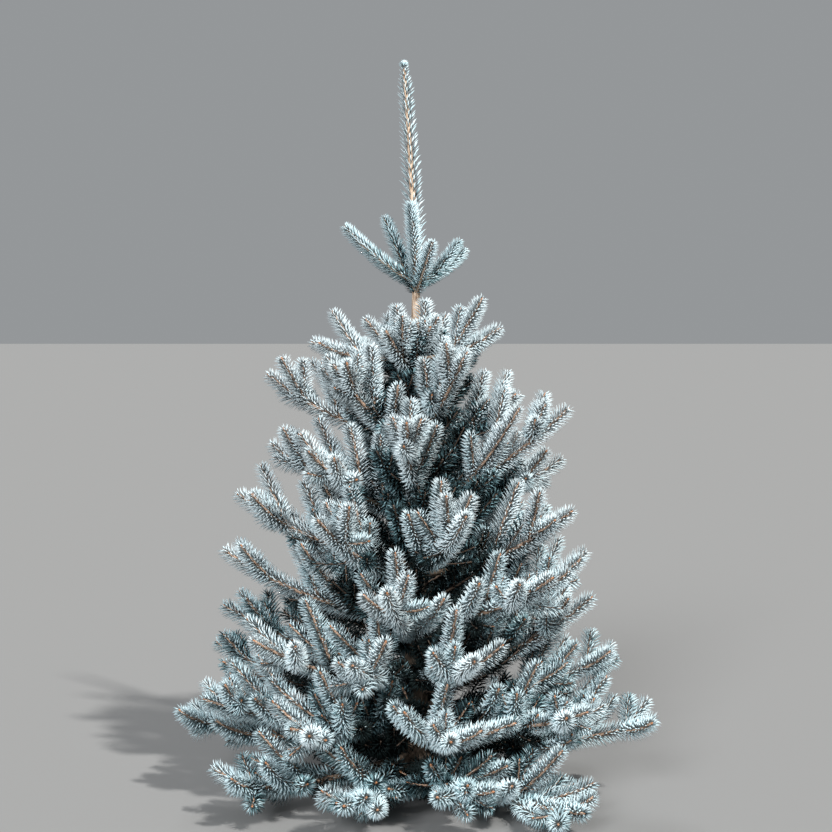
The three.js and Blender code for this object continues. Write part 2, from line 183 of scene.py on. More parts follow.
# Needles, twigs and buds
TUFT = 0.017  # how far the last needles stand past the end of their twig
GOLDEN_TURN = math.radians(137.508)
NEEDLE_LEAN = {"foot": 68, "end": 60, "tip": 38, "vary": 3}  # degrees from the twig
NEEDLE_REACH = 1.03  # a needle's length beside the solid's radius there, for its slim point
TIP_SHORTER = 0.3  # how much shorter the last needles round a bud are
NEEDLE_SWEEP = 0.06  # how strongly needles turn upwards
NEEDLE_PARTING = 0.2  # how far needles part along the top of a twig
NEEDLE_CURL = 0.1  # how far a needle points along its twig besides
NEEDLE_ROOT = 0.6  # the share of a twig's radius that its needles start at
FEWEST_NEEDLES = 12
UNEVEN = {"turn": 0.08, "length": 0.05, "width": 0.12}  # how much needles vary
SPRAY_SWELL = {"fullest": 0.36, "end": 0.8}  # where a spray is widest, and how wide it is at its ends
# A needle's four corners: the share of its length, then the shares of its width across and upwards
NEEDLE_CORNERS = np.array(((0.0, 0.3, 0.0), (0.25, -0.5, 0.4), (0.7, 0.5, -0.4), (1.0, -0.1, 0.0)))
NEEDLE_FACES = np.array(((0, 2, 1), (0, 1, 3), (0, 3, 2), (1, 2, 3)))
LEADER_NEEDLES = {
    "count": 310, "lean": 48, "lean_varies": 3, "widen": 1.2, "root": 0.8, "turn": 0.1, "uneven": 0.06,
    "length": ((0.0, 0.029), (0.5, 0.026), (0.86, 0.021), (0.95, 0.013), (1.0, 0.011)),
    "crown": 60,  # needles round the bud at the top
    "crown_reach": 0.0125,
    "crown_spread": 1.25,  # where 1 is the upper half of a ball and 2 is all of it
    "crown_uneven": 0.15,
    "tone": 1.9, "tone_varies": 0.9, "darkest": 4,
}
LEADER_BUD = 0.012  # from the leader's end to the tree's top
TWIG_SIDES, TWIG_STEP, TWIG_ROUGHNESS = 5, 0.014, 0.14
TWIG_FLECKS = {1: 0.4, 2: 0.4, 3: 0.4, INSIDE: 1.0}  # the share of a twig's faces in the old twigs' colour
ALL_TIERS = range(1, 10)
TWIG_TIERS = {"upper": ALL_TIERS[:6], "lower": ALL_TIERS[6:]}
BUD_SIZE = {"least": 0.7, "vary": 0.5, "sunk": 0.15}  # shares of a bud's length
BOUGH_END = 0.44  # the share of a limb that has old bark
TWIG_START = 0.8  # the share of that stretch where the limb's own twig starts, inside the bark
BARK_SIDES, BARK_RINGS, FLARE_RINGS = 18, 34, 6
BARK_RELIEF = (("plates", 0.02, 1.0), ("furrows", 0.007, 0.6))  # name, size, share of the bark's depth
OLD_BARK = ((0.0, (54, 45, 38)), (0.45, (88, 75, 64)), (0.9, (122, 108, 94)))
YOUNG_BARK = ((0.3, (112, 88, 70)), (0.5, (172, 148, 126)), (0.75, (210, 194, 176)))
TRUNK_TURNS_TAN = (0.88, 1.12)  # the heights between which old bark gives way to young
BOUGHS_TURN_TAN = (0.2, 2.6)


def seeded_random(seed):
    """Park and Miller's generator, which gives the numbers that the solids were grown with."""
    largest = 2147483647
    state = (seed * 7919 + 17) % largest
    while True:
        state = state * 16807 % largest
        yield state / largest


def spread(random):
    """The next number of a generator, from -1 to 1."""
    return 2 * next(random) - 1


def smooth(value):
    """Eases from 0 to 1."""
    value = np.clip(value, 0, 1)
    return value * value * (3 - 2 * value)


def unit(vectors):
    """The same directions with length 1."""
    return vectors / np.linalg.norm(vectors, axis=-1, keepdims=True)


def varied(share, count, rng):
    """Factors about 1 that vary by a share of it."""
    return 1 + share * rng.normal(0, 1, count).clip(-2, 2)


def between(table, place):
    """A table's value at a place, easing from each of its rows to the next."""
    places, values = np.array(table).T
    following = np.clip(np.searchsorted(places, place), 1, len(table) - 1)
    share = (place - places[following - 1]) / (places[following] - places[following - 1])
    return values[following - 1] + (values[following] - values[following - 1]) * smooth(share)


def trunk_radius(height):
    return between(TRUNK_RADII, np.minimum(height, TRUNK_TOP))


def trunk_centre(height):
    """The middle of the trunk: upright to the leader, which leans a little to the left."""
    along = np.maximum(0, (np.asarray(height) - LEADER["foot"]) / (TRUNK_TOP - LEADER["foot"]))
    return np.stack([LEADER["lean"] * along ** LEADER["bow"], 0 * along, height + 0 * along], axis=-1)


class Curve:
    """The middle line of a limb or shoot, which leaves its foot nearly level and turns up."""

    def __init__(self, foot, azimuth, reach, rise):
        turn = math.radians(azimuth)
        out = np.array([math.cos(turn), math.sin(turn), 0.0])
        self.azimuth = azimuth
        self.pitch = math.degrees(math.atan2(rise, reach))
        end_pitch = math.radians(min(least + share * self.pitch for least, share in END_PITCH))
        self.foot = np.asarray(foot, float)
        self.tip = self.foot + out * reach
        self.tip[2] += rise
        self.knee = self.foot + out * reach * KNEE
        self.knee[2] = self.tip[2] - reach * (1 - KNEE) * math.tan(end_pitch)
        self.length = np.linalg.norm(np.diff(self.point(np.linspace(0, 1, 201)), axis=0), axis=1).sum()

    def point(self, share):
        share = np.asarray(share, float)[..., None]
        rest = 1 - share
        return rest**2 * self.foot + 2 * rest * share * self.knee + share**2 * self.tip

    def along(self, share):
        share = np.asarray(share, float)[..., None]
        return unit((1 - share) * (self.knee - self.foot) + share * (self.tip - self.knee))


class Stem:
    """The leader's middle line, with the same calls as a curve."""

    def __init__(self, foot, top):
        self.heights = (foot, top)
        self.length = top - foot

    def point(self, share):
        low, high = self.heights
        return trunk_centre(low + (high - low) * np.asarray(share, float))

    def along(self, share):
        step = 0.01
        return unit(self.point(np.asarray(share) + step) - self.point(np.asarray(share) - step))


def square_to(along):
    """Two directions square to a line: one level, and one as near upright as can be."""
    level = np.stack([along[..., 1], -along[..., 0], np.zeros(along.shape[:-1])], axis=-1)
    upright_line = np.linalg.norm(level, axis=-1) < 1e-6
    level[upright_line] = (1.0, 0.0, 0.0)
    level = unit(level)
    return level, unit(np.cross(level, along))


@dataclass
class Shoot:
    """A twig with its needles: where it runs, how far they stand out and where they start.

    Its order is 1 for a limb's own end, 2 for a side shoot, 3 for a finer one and 4 inside the crown.
    """

    curve: Curve
    reach: float
    bare: float
    radii: tuple
    order: int
    crowding: float


@dataclass
class Limb:
    """A limb of the trunk and everything that grows on it."""

    label: str
    tier: Tier
    number: int
    curve: Curve
    shoots: list = field(default_factory=list)

    def node(self, kind):
        """The name of the limb's foliage or bough among the solids."""
        return f"{kind}_{self.label}"


def corners_of(node):
    """The corners of a node's solid."""
    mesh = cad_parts[node].data
    places = np.empty(len(mesh.vertices) * 3, np.float32)
    mesh.vertices.foreach_get("co", places)
    return places.reshape(-1, 3)


def side_curve(parent, at, azimuth, pitch, long):
    rise = math.radians(pitch)
    return Curve(parent.point(at), azimuth, long * math.cos(rise), long * math.sin(rise))


def wood_radius(curve, share):
    """The radius of a limb's wood at a share of the way along it."""
    foot = LIMB_WOOD["least"] + LIMB_WOOD["for_length"] * curve.length
    return foot + (LIMB_WOOD["tip"] - foot) * share**0.5


def shoots_in_pairs(parent, pairs, first, last, length, lifted, random):
    """Side shoots from one share of their parent to another: (at, azimuth, pitch, long)."""
    places = []
    for pair in range(pairs):
        for side in (-1, 1):
            share = (pair + SIDE_PLACE["first"] + SIDE_PLACE["vary"] * next(random)) / pairs
            at = first + (last - first) * share
            turn = SIDE_TURN["mean"] + SIDE_TURN["vary"] * spread(random)
            lift = lifted["mean"] + lifted["vary"] * spread(random)
            vary = 1 + length["vary"] * spread(random)
            long = (length["least"] + length["share"] * parent.length * (1 - at)) * vary
            places.append((at, parent.azimuth + side * turn, parent.pitch + lift, long))
    return places


def source_shoots(limb, random):
    """The side shoots that the limb's solid has, at the sizes that they grew to there."""
    tier, parent = limb.tier, limb.curve
    places = shoots_in_pairs(parent, tier.pairs, tier.bare, 1, SIDE_LENGTH, SIDE_LIFT, random)
    if tier.pairs:
        at = tier.bare + (1 - tier.bare) * TOP_SHOOT["at"]
        azimuth = parent.azimuth + TOP_SHOOT["turn"] * spread(random)
        long = SIDE_LENGTH["least"] + TOP_SHOOT["length"] * parent.length * (1 - at)
        places.append((at, azimuth, parent.pitch + TOP_SHOOT["lift"], long))
    corners = corners_of(limb.node("foliage"))
    grown = []
    for at, azimuth, pitch, long in places:
        for size in SIDE_SIZES:
            curve = side_curve(parent, at, azimuth, pitch, long * size)
            if np.linalg.norm(corners - curve.tip, axis=1).min() < SAME_PLACE:
                grown.append(curve)
                break
    return grown


def finer_shoots(parent, reach, random):
    """The finer shoots on one of the solid's shoots, by the same rule again."""
    pairs = max(1, int(parent.length / PAIR_EVERY))
    places = shoots_in_pairs(parent, pairs, *FINER_SPAN, FINER_LENGTH, FINER_LIFT, random)
    for at, azimuth, pitch, long in places:
        if next(random) < FINER_CHANCE:
            curve = side_curve(parent, at, azimuth, min(pitch, STEEPEST), long)
            yield Shoot(curve, reach * FINER_SPRAY, *FINER_TWIG)


def inner_shoots(limb, random):
    """Short shoots on the older wood near the trunk, which close the crown's middle."""
    spec, parent = INNER_SHOOTS, limb.curve
    for n in range(spec["count"]):
        at = spec["from"] + (spec["to"] - spec["from"]) * (n + next(random)) / spec["count"]
        side = 1 if n % 2 else -1
        azimuth = parent.azimuth + side * (SIDE_TURN["mean"] + SIDE_TURN["vary"] * spread(random))
        pitch = parent.pitch + spec["lift"] * spread(random)
        long = spec["length"] * (1 + spec["vary"] * spread(random))
        curve = side_curve(parent, at, azimuth, pitch, long)
        if depth_inside(curve.tip) > 1 - HIDDEN_WITHIN:
            yield Shoot(curve, *INNER_TWIG)


def grow_limb(tier, number, n, spec):
    """One limb with its shoots, the limb's own end first."""
    azimuth, reach, tip_height = spec
    foot = trunk_centre(tier.height + (-STAGGER if n % 2 else STAGGER))
    curve = Curve(foot, azimuth, reach, tip_height - foot[2])
    limb = Limb(f"tier{number}_{'abcdefgh'[n]}", tier, number, curve)
    random = seeded_random(100 * number + n)
    bare = tier.bare * LIMB_NEEDLES["bare"] if tier.pairs else WHORL_NEEDLES["bare"]
    crowding = (LIMB_NEEDLES if tier.pairs else WHORL_NEEDLES)["crowding"]
    radii = (wood_radius(curve, 0), LIMB_WOOD["tip"])
    limb.shoots.append(Shoot(curve, tier.spray, bare, radii, 1, crowding))
    sides = source_shoots(limb, random)
    limb.shoots += [Shoot(side, tier.spray * SIDE_SPRAY, *SIDE_TWIG) for side in sides]
    if tier.pairs:
        for side in sides:
            limb.shoots += finer_shoots(side, tier.spray, random)
        limb.shoots += inner_shoots(limb, random)
    for label, at, turn, out, up, radius in WHORL_SHOOTS:
        if label == limb.label:
            limb.shoots.append(Shoot(Curve(curve.point(at), turn, out, up), radius, *WHORL_TWIG))
    lowest = LOWEST_NEEDLE + tier.spray / 2
    limb.shoots = [shoot for shoot in limb.shoots if shoot.curve.point(0.5)[2] > lowest]
    return limb


def crown_radius(height):
    """How far the crown reaches from the trunk at a height."""
    return between(CROWN_RADII, np.clip(height, 0, CROWN_RADII[-1][0]))


def depth_inside(place):
    """How deep a place is in the crown: 0 at its outside, 1 at the trunk."""
    return float(np.clip(1 - math.hypot(place[0], place[1]) / crown_radius(place[2]), 0, 1))


def trunk_shoots():
    """Slender shoots on the trunk between the tiers, which fill the crown's middle."""
    random = seeded_random(77)
    spec = TRUNK_SHOOTS
    for n in range(int((spec["high"] - spec["low"]) / spec["every"])):
        height = spec["low"] + spec["every"] * (n + spec["stagger"] * next(random))
        reach = float(between(TRUNK_SHOOT_REACH, height) * crown_radius(height))
        reach *= 1 + spec["vary"] * spread(random)
        azimuth = math.degrees(n * GOLDEN_TURN)
        pitch = float(between(TRUNK_SHOOT_PITCH, height)) * (1 + spec["tilt"] * spread(random))
        rise = math.radians(pitch)
        curve = Curve(trunk_centre(height), azimuth, reach * math.cos(rise), reach * math.sin(rise))
        yield Shoot(curve, *TRUNK_TWIG)
        sides = shoots_in_pairs(curve, *TRUNK_SIDES.values(), FINER_LENGTH, SIDE_LIFT, random)
        for at, turn, tilt, long in sides:
            finer = side_curve(curve, at, turn, min(tilt, STEEPEST), long)
            if depth_inside(finer.tip) > 1 - HIDDEN_WITHIN:
                yield Shoot(finer, *TRUNK_SIDE_TWIG)


def grow_tree():
    """Every limb with its shoots. One on the trunk goes with the limb whose older wood is nearest."""
    limbs = [
        grow_limb(tier, number, n, spec)
        for number, tier in enumerate(TIERS, start=1)
        for n, spec in enumerate(tier.limbs)
    ]
    for shoot in trunk_shoots():
        middle = shoot.curve.point(0.5)
        nearest = min(limbs, key=lambda limb: np.linalg.norm(limb.curve.point(0.3) - middle))
        nearest.shoots.append(shoot)
    return limbs


def limbs_by_tier():
    """The number of each tier with its limbs."""
    for number in range(1, len(TIERS) + 1):
        yield number, [limb for limb in LIMBS if limb.number == number]


def shoots_of(numbers):
    """All the shoots of some tiers."""
    return [shoot for limb in LIMBS if limb.number in numbers for shoot in limb.shoots]


LIMBS = grow_tree()
LEADER_STEM = Stem(LEADER["foot"], TREE_TOP - LEADER_BUD)


class Meshed:
    """Vertices and triangles gathered from many small shapes, each triangle with its tone."""

    def __init__(self):
        self.places, self.triangles, self.tones, self.count = [], [], [], 0

    def add(self, places, triangles, tone):
        self.places.append(places)
        self.triangles.append(triangles + self.count)
        self.tones.append(np.broadcast_to(tone, len(triangles)))
        self.count += len(places)

    def make(self, name, materials):
        """One object of it all."""
        triangles = np.concatenate(self.triangles).astype(np.int32)
        mesh = bpy.data.meshes.new(name)
        mesh.vertices.add(self.count)
        mesh.vertices.foreach_set("co", np.concatenate(self.places).astype(np.float32).ravel())
        mesh.loops.add(triangles.size)
        mesh.loops.foreach_set("vertex_index", triangles.ravel())
        mesh.polygons.add(len(triangles))
        mesh.polygons.foreach_set("loop_start", np.arange(0, triangles.size, 3, dtype=np.int32))
        for material in materials:
            mesh.materials.append(material)
        mesh.polygons.foreach_set("material_index", np.concatenate(self.tones).astype(np.int32))
        mesh.update(calc_edges=True)
        piece = bpy.data.objects.new(name, mesh)
        bpy.context.scene.collection.objects.link(piece)
        return piece


def fullness(share):
    """How full a spray is at a share of the way along it, beside its fullest."""
    fullest, end = SPRAY_SWELL.values()
    swell = np.where(share < fullest, 0.5 + 0.5 * share / fullest, (1 - share) / (1 - fullest))
    return end + (1 - end) * np.sin(np.pi / 2 * swell)


def turned(one, other, turn):
    """Directions turned from one towards another."""
    return np.cos(turn)[:, None] * one + np.sin(turn)[:, None] * other


def needle_places(curve, first, last, count, uneven, parting, rng):
    """Where needles stand on a line: their order, the share of it, its directions, and outwards."""
    way = (np.arange(count) + rng.random(count)) / count
    share = first + (last - first) * way
    along = curve.along(share)
    turn = np.arange(count) * GOLDEN_TURN + rng.normal(0, uneven, count)
    return way, share, along, turned(*square_to(along), turn - parting * np.cos(turn))


def needle_lines(shoot, density, rng):
    """One shoot's needles: feet, directions, the twig's directions, lengths, and order along it."""
    curve = shoot.curve
    end = 1 - TUFT / curve.length
    count = max(FEWEST_NEEDLES, int(density * shoot.crowding * curve.length * (1 - shoot.bare)))
    way, share, along, outward = needle_places(
        curve, shoot.bare, end, count, UNEVEN["turn"], NEEDLE_PARTING, rng
    )
    lean = NEEDLE_LEAN["foot"] + (NEEDLE_LEAN["end"] - NEEDLE_LEAN["foot"]) * way
    nearing = smooth(1 - (end - share) * curve.length / TUFT)
    lean = lean + (NEEDLE_LEAN["tip"] - lean) * nearing * rng.random(count)
    lean = lean + rng.normal(0, NEEDLE_LEAN["vary"], count)
    direction = turned(along, outward, np.radians(lean))
    direction[:, 2] += NEEDLE_SWEEP
    direction = unit(direction)
    radius = shoot.radii[0] + (shoot.radii[1] - shoot.radii[0]) * share
    feet = curve.point(share) + outward * (radius * NEEDLE_ROOT)[:, None]
    length = NEEDLE_REACH * (shoot.reach - radius) * fullness(way) * (1 - TIP_SHORTER * nearing)
    return feet, direction, along, length * varied(UNEVEN["length"], count, rng), way


def needle_mesh(feet, direction, along, length, width):
    """Slim four-faced needles, as their places, their triangles and how many triangles each has."""
    chord = (direction + NEEDLE_CURL * along) * length[:, None]
    across = unit(np.cross(chord, along))
    upwards = unit(np.cross(chord, across))
    shares, sideways, up = NEEDLE_CORNERS.T[:, None, :, None]
    wide = width[:, None, None]
    places = feet[:, None] + chord[:, None] * shares
    places = places + wide * (across[:, None] * sideways + upwards[:, None] * up)
    triangles = np.arange(len(feet))[:, None, None] * len(NEEDLE_CORNERS) + NEEDLE_FACES
    return places.reshape(-1, 3), triangles.reshape(-1, 3), len(NEEDLE_FACES)


def tube_mesh(curve, start, end, radii, sides, rng):
    """A closed tapering twig with an uneven surface."""
    rings = max(3, round(curve.length * (end - start) / TWIG_STEP) + 1)
    share = np.linspace(start, end, rings)
    middle = curve.point(share)
    level, upright = square_to(curve.along(share))
    roughness = 1 + TWIG_ROUGHNESS * rng.normal(0, 1, (rings, sides))
    radius = np.linspace(radii[0], radii[1], rings)[:, None] * roughness
    angle = 2 * np.pi * np.arange(sides) / sides
    ring = np.cos(angle)[None, :, None] * level[:, None] + np.sin(angle)[None, :, None] * upright[:, None]
    places = (middle[:, None] + ring * radius[..., None]).reshape(-1, 3)
    places = np.concatenate([places, middle[:1], middle[-1:] + curve.along(end) * radii[1]])
    here = np.arange(sides)
    following = (here + 1) % sides
    last = (rings - 1) * sides
    faces = []
    for low in range(0, last, sides):
        high = low + sides
        faces += [
            (low + here, low + following, high + here),
            (low + following, high + following, high + here),
        ]
    foot, tip = (np.full(sides, last + sides + n) for n in (0, 1))
    faces += [(following, here, foot), (last + here, last + following, tip)]
    return places, np.concatenate([np.stack(each, axis=1) for each in faces])


class Signal:
    """A socket of a material's node tree that can be used in sums."""

    def __init__(self, maker, socket):
        self.maker, self.socket = maker, socket

    def maths(self, operation, other):
        return self.maker.node("ShaderNodeMath", {"operation": operation}, self, other)

    def __add__(self, other):
        return self.maths("ADD", other)

    def __mul__(self, other):
        return self.maths("MULTIPLY", other)

    def clamped(self):
        return self.maker.node("ShaderNodeClamp", {}, self)


class Finish:
    """A material made of nodes on one Principled shader."""

    def __init__(self, name, colour, roughness, specular=0.4):
        self.material = bpy.data.materials.new(name)
        self.material.use_nodes = True
        self.tree = self.material.node_tree
        self.shader = self.tree.nodes["Principled BSDF"]
        self.set("Base Color", (*colour, 1.0))
        self.set("Roughness", roughness)
        self.set("Specular IOR Level", specular)
        self.material.diffuse_color = (*colour, 1.0)

    def set(self, socket, value):
        self.put(self.shader.inputs[socket], value)

    def put(self, socket, value):
        if isinstance(value, Signal):
            self.tree.links.new(value.socket, socket)
        else:
            socket.default_value = value

    def node(self, kind, settings, *values, output=0, **named):
        """Adds a node: its settings first, then the values of its sockets in order or by name."""
        made = self.tree.nodes.new(kind)
        for name, value in settings.items():
            if name == "stops":
                self.fill_ramp(made.color_ramp, value)
            else:
                setattr(made, name, value)
        for socket, value in zip(made.inputs, values):
            self.put(socket, value)
        for name, value in named.items():
            self.put(made.inputs[name.replace("_", " ")], value)
        return Signal(self, made.outputs[output])

    @staticmethod
    def fill_ramp(ramp, stops):
        while len(ramp.elements) < len(stops):
            ramp.elements.new(1.0)
        for element, (place, shown) in zip(ramp.elements, stops):
            element.position = place
            element.color = (*linear(*shown), 1.0)

    def place(self, scale=(1, 1, 1)):
        coordinates = self.tree.nodes.new("ShaderNodeTexCoord")
        place = Signal(self, coordinates.outputs["Object"])
        return self.node("ShaderNodeMapping", {}, place, Scale=scale)

    def mix(self, share, one, other):
        made = self.tree.nodes.new("ShaderNodeMix")
        made.data_type = "RGBA"
        self.put(made.inputs["Factor"], share)
        colours = [each for each in made.inputs if each.type == "RGBA"]
        self.put(colours[0], one)
        self.put(colours[1], other)
        return Signal(self, next(each for each in made.outputs if each.type == "RGBA"))


def linear(red, green, blue):
    """A colour as screens show it, 0 to 255, as the scene's own light values."""
    shares = [channel / 255 for channel in (red, green, blue)]
    return tuple(share / 12.92 if share <= 0.04045 else ((share + 0.055) / 1.055) ** 2.4 for share in shares)


def bark_finish(name, turns_tan):
    """Furrowed grey-brown bark, which turns tan between two heights above the ground."""
    bark = Finish(name, linear(110, 92, 76), roughness=0.9, specular=0.2)
    height = bark.node("ShaderNodeSeparateXYZ", {}, bark.place(), output=2)
    young = bark.node("ShaderNodeMapRange", {}, height, *turns_tan, 0.0, 1.0)
    plates = bark.node("ShaderNodeTexVoronoi", {"feature": "F1"}, bark.place((1, 1, 0.4)), Scale=150.0)
    grain = bark.node("ShaderNodeTexNoise", {}, bark.place((1, 1, 0.3)), Scale=260.0, Detail=4.0)
    old_wood = bark.node("ShaderNodeValToRGB", {"stops": OLD_BARK}, (plates * 0.6 + grain * 0.6).clamped())
    young_wood = bark.node("ShaderNodeValToRGB", {"stops": YOUNG_BARK}, grain)
    bark.set("Base Color", bark.mix(young, old_wood, young_wood))
    bark.set("Roughness", (grain * 0.3 + 0.62).clamped())
    relief = bark.node("ShaderNodeBump", {}, Strength=0.6, Distance=0.002, Height=plates * 0.5 + grain)
    bark.set("Normal", relief)
    return bark.material


def number_property(label, description, default, **options):
    return bpy.props.FloatProperty(name=label, description=description, default=default, **options)


def colour_property(label, description, *shown):
    return bpy.props.FloatVectorProperty(
        name=label, description=description, subtype="COLOR", size=3, min=0, max=1, default=linear(*shown)
    )


class SpruceSizes(bpy.types.PropertyGroup):
    """Sizes and counts of the foliage."""

    needle_count: bpy.props.IntProperty(
        name="Needles", description="How many needles the whole tree has", default=178_000, min=1000
    )
    needle_width: number_property("Needle width", "Width of a needle at its middle", 0.0027, unit="LENGTH")
    bud_length: number_property("Bud length", "Length that buds vary about", 0.0066, unit="LENGTH")
    bark_depth: number_property("Bark depth", "Depth of the relief in the old bark", 0.0022, unit="LENGTH")


class SpruceColours(bpy.types.PropertyGroup):
    """Colours of the needles, from the palest new growth to the painted deep shade of the crown's middle,
    and of the wood.
    """

    frost: colour_property("Frost", "Needles at the ends of the newest shoots", 196, 209, 213)
    silver: colour_property("Silver", "Needles of the outer shoots", 192, 209, 214)
    blue: colour_property("Blue", "Needles of the outer shoots in their second year", 186, 207, 213)
    # Steel, sea green, teal and deep green are partly older needles and partly painted shade, darkest in the
    # crown's middle
    steel: colour_property("Steel", "Needles behind the outer shoots", 166, 190, 196)
    sea: colour_property("Sea green", "Older needles", 104, 134, 140)
    teal: colour_property("Teal", "Needles in the crown's middle", 48, 70, 75)
    deep: colour_property("Deep green", "The oldest needles, next to the trunk", 20, 32, 32)
    young_twig: colour_property("Young twig", "Twigs of the last two years", 162, 134, 114)
    old_twig: colour_property("Old twig", "Twigs on older wood", 86, 72, 62)
    bud: colour_property("Bud", "Scales of the buds", 146, 100, 68)


NEEDLE_TONES = ("frost", "silver", "blue", "steel", "sea", "teal", "deep")
# How many tones darker each cause makes the needles
# The darker tones of the finer and inner shoots are partly their older needles and partly painted shade in
# the crown's middle
TONE_OF_ORDER = {1: -0.1, 2: 0.1, 3: 0.9, INSIDE: 4.4}
# Painted light and shade by tier: the upper tiers lighter, the top whorl and the lowest tiers darker
PAINTED_LIGHT_BY_TIER = {1: 1.6, 2: -0.7, 3: -0.8, 4: -0.7, 5: -0.4, 7: 0.3, 8: 1.0, 9: 1.6}
# Painted shade with older needles: the crown's middle is darker the deeper a shoot lies, and more so below
# this height
SHADE_BELOW = 0.75  # the height below which the crown's middle is darker
# Painted shade on the limbs at the lower left and back and on one branch of the top whorl
SHADED_LIMBS = {"tier7_a": 2.2, "tier8_a": 2.4, "tier1_b": 1.0}
INSIDE_SHADE_AND_AGE = {"from": 0.12, "all": 3.4, "low": 6.5}  # by depth in the crown
FOOT_DARKER = {"limb": 3.0, "shoot": 0.6, "fades": 1.5}  # at a twig's foot, where needles are older
TONE_VARIES = {"shoot": 0.4, "needle": 0.7}
TWIG_TONES = ("young_twig", "old_twig")

# The studio
FLOOR_COLOUR = (0.19, 0.19, 0.188)
SKY_COLOUR = (0.93, 0.97, 1.0, 1.0)
LIGHTS = {  # where each stands, its colour and its softness
    "key": ((2.6, -3.2, 4.2), (1.0, 0.985, 0.955), "key_softness"),
    "front": ((-1.4, -4.0, 2.0), (0.96, 0.98, 1.0), "wide_softness"),
    "back": ((-1.0, 4.0, 3.0), (0.96, 0.98, 1.0), "wide_softness"),
}


class SpruceStage(bpy.types.PropertyGroup):
    """Camera and studio light."""

    lens: number_property("Lens", "Focal length on a 36 mm frame, in millimetres", 71.0)
    distance: number_property("Camera distance", "From the trunk to the camera", 3.6, unit="LENGTH")
    eye_height: number_property("Camera height", "Height above the ground", 1.0, unit="LENGTH")
    tilt: number_property("Tilt", "How far the camera looks down", math.radians(2.8), subtype="ANGLE")
    key_strength: number_property("Key light", "Strength of the main light", 4.9)
    key_softness: number_property("Key softness", "Angle that it fills", math.radians(3), subtype="ANGLE")
    front_strength: number_property("Front light", "Strength of the wide light in front", 4.2)
    back_strength: number_property("Back light", "Strength of the wide light behind", 1.6)
    wide_softness: number_property("Wide softness", "Angle of the others", math.radians(20), subtype="ANGLE")
    surroundings: number_property("Surroundings", "Brightness of the studio all round", 0.32)


def settings(group):
    return getattr(bpy.context.scene, group)


def plain_finish(name, roughness, specular=0.4):
    """A material of one plain colour, taken from the colour properties."""
    colour = tuple(getattr(settings("spruce_colours"), name))
    return bpy.data.materials.get(name) or Finish(name, colour, roughness, specular).material


def place_piece(piece, slot, *nodes):
    """Fixes a piece to the tree, in place of its solids."""
    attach(piece, "root")
    if nodes:
        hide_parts(*nodes)
    return piece


def apply_modifier(piece, kind, **values):
    modifier = piece.modifiers.new(kind.title(), kind)
    for name, value in values.items():
        setattr(modifier, name, value)
    bpy.context.view_layer.objects.active = piece
    bpy.ops.object.modifier_apply(modifier=modifier.name)


def displace(piece, name, size, contrast, strength, **values):
    """Pushes the surface in and out by a cloudy texture."""
    texture = bpy.data.textures.new(name, "CLOUDS")
    texture.noise_scale = size
    texture.noise_depth = 3
    texture.contrast = contrast
    values.update(texture=texture, texture_coords="LOCAL", strength=strength, mid_level=0.5)
    apply_modifier(piece, "DISPLACE", **values)


def extruded_column(name, sides, rings):
    """A closed column pulled up ring by ring, each of them (middle, radius)."""
    bpy.ops.object.select_all(action="DESELECT")
    middle, radius = rings[0]
    bpy.ops.mesh.primitive_circle_add(vertices=sides, radius=radius, fill_type="NGON", location=middle)
    piece = bpy.context.object
    piece.name = piece.data.name = name
    bpy.ops.object.transform_apply()
    bpy.ops.object.mode_set(mode="EDIT")
    bpy.ops.mesh.select_all(action="SELECT")
    for last, (here, wide) in zip(rings, rings[1:]):
        step = Vector(here) - Vector(last[0])
        grow = wide / last[1]
        bpy.ops.mesh.extrude_region_move(TRANSFORM_OT_translate={"value": step})
        bpy.ops.transform.resize(value=(grow, grow, 1), center_override=here)
    bpy.ops.mesh.select_all(action="SELECT")
    bpy.ops.mesh.normals_make_consistent(inside=False)
    bpy.ops.object.mode_set(mode="OBJECT")
    return piece


def shape_of(pattern):
    """The corners and triangles of a pattern that copies are made from."""
    places = np.array([vertex.co for vertex in pattern.data.vertices])
    return places, np.array([face.vertices for face in pattern.data.polygons])


